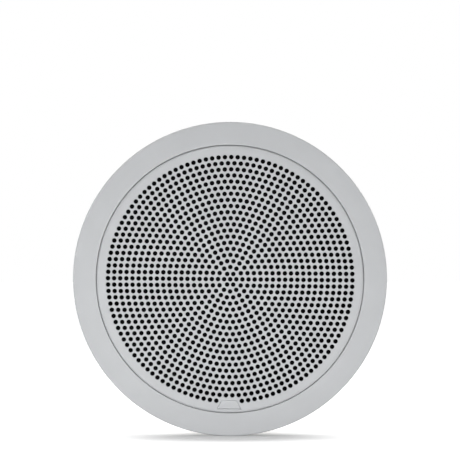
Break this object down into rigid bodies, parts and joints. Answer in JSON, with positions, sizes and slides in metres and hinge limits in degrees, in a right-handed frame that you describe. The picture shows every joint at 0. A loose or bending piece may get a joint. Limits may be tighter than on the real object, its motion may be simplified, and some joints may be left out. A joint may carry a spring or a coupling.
{
  "type": "ceiling speaker",
  "caption": "Round flush ceiling speaker: flanged plastic frame with perforated grille, paper-cone driver, line transformer, terminal block and screw-driven swing-out clamps.",
  "frame": {"origin": "on the speaker axis, in the plane of the flange's back face, which lies on the ceiling board", "axes": "+Y along the speaker axis from the grille into the ceiling void; +Z towards the top of the picture, away from the badge recess; X across"},
  "size_m": [0.18, 0.0702, 0.18],
  "materials": {
    "frame_plastic": "light grey moulded plastic, fine matt grain",
    "grille_plastic": "light grey moulded plastic, fine matt grain",
    "scrim_cloth": "black acoustic cloth",
    "gasket_foam": "closed-cell foam",
    "basket_steel": "black powder coat on pressed steel",
    "cone_paper": "dark pressed paper pulp",
    "whizzer_paper": "grey-brown pressed paper pulp",
    "surround_rubber": "satin black rubber",
    "former_foil": "plain foil",
    "coil_copper": "enamelled copper wire",
    "spider_cloth": "resin-dipped cloth, amber",
    "motor_steel": "bright zinc plate",
    "magnet_ferrite": "ground ferrite, dark grey",
    "screw_steel": "bright zinc plate",
    "tag_phenolic": "brown paper laminate",
    "tag_brass": "tinned brass",
    "tinsel": "braided tinsel",
    "bracket_steel": "bright zinc plate",
    "core_iron": "varnished laminations",
    "bobbin_nylon": "natural nylon",
    "winding_tape": "yellow polyester tape",
    "terminal_plastic": "white polyamide",
    "terminal_brass": "plain brass",
    "wire_black": "insulated wire",
    "wire_white": "insulated wire",
    "wire_red": "insulated wire",
    "dog_nylon": "grey glass-filled nylon"
  },
  "bodies": {
    "frame": {"mounting_frame": "frame_plastic", "grille": "grille_plastic", "scrim": "scrim_cloth", "gasket": "gasket_foam", "basket": "basket_steel", "surround": "surround_rubber", "spider": "spider_cloth", "top_plate": "motor_steel", "magnet": "magnet_ferrite", "pole_yoke": "motor_steel", "driver_screws": "screw_steel", "tag_board": "tag_phenolic", "solder_tag_1": "tag_brass", "solder_tag_2": "tag_brass", "tinsel_lead_1": "tinsel", "tinsel_lead_2": "tinsel", "driver_lead_1": "wire_black", "driver_lead_2": "wire_red", "supply_lead_1": "wire_black", "supply_lead_2": "wire_white", "supply_lead_3": "wire_red", "transformer_bracket": "bracket_steel", "bracket_screws": "screw_steel", "transformer_core": "core_iron", "transformer_bobbin": "bobbin_nylon", "transformer_winding": "winding_tape", "transformer_strap": "bracket_steel", "transformer_rivets": "screw_steel", "terminal_block": "terminal_plastic", "terminal_inserts": "terminal_brass", "terminal_screws": "screw_steel", "terminal_block_screws": "screw_steel"},
    "diaphragm": {"cone": "cone_paper", "whizzer": "whizzer_paper", "dust_cap": "cone_paper", "voice_coil_former": "former_foil", "voice_coil": "coil_copper"},
    "clamp_1_screw": {"clamp_screw_1": "screw_steel", "clamp_retainer_1": "screw_steel"},
    "clamp_1_dog": {"clamp_dog_1": "dog_nylon"},
    "clamp_2_screw": {"clamp_screw_2": "screw_steel", "clamp_retainer_2": "screw_steel"},
    "clamp_2_dog": {"clamp_dog_2": "dog_nylon"},
    "clamp_3_screw": {"clamp_screw_3": "screw_steel", "clamp_retainer_3": "screw_steel"},
    "clamp_3_dog": {"clamp_dog_3": "dog_nylon"}
  },
  "joints": [
    {"name": "cone_travel", "type": "slide", "parent": "frame", "child": "diaphragm", "axis": [0, -1, 0], "range_m": [-0.0025, 0.0025], "stiffness_N_per_m": 1200, "deforming": ["surround", "spider", "tinsel_lead_1", "tinsel_lead_2"]},
    {"name": "clamp_1_swing", "type": "hinge", "parent": "frame", "child": "clamp_1_screw", "pos_m": [0, 0.0045, 0.0689], "axis": [0, 1, 0], "range_deg": [0, 90]},
    {"name": "clamp_1_draw", "type": "slide", "parent": "clamp_1_screw", "child": "clamp_1_dog", "axis": [0, -1, 0], "range_m": [0, 0.02]},
    {"name": "clamp_2_swing", "type": "hinge", "parent": "frame", "child": "clamp_2_screw", "pos_m": [-0.05967, 0.0045, -0.03445], "axis": [0, 1, 0], "range_deg": [0, 90]},
    {"name": "clamp_2_draw", "type": "slide", "parent": "clamp_2_screw", "child": "clamp_2_dog", "axis": [0, -1, 0], "range_m": [0, 0.02]},
    {"name": "clamp_3_swing", "type": "hinge", "parent": "frame", "child": "clamp_3_screw", "pos_m": [0.05967, 0.0045, -0.03445], "axis": [0, 1, 0], "range_deg": [0, 90]},
    {"name": "clamp_3_draw", "type": "slide", "parent": "clamp_3_screw", "child": "clamp_3_dog", "axis": [0, -1, 0], "range_m": [0, 0.02]}
  ]
}
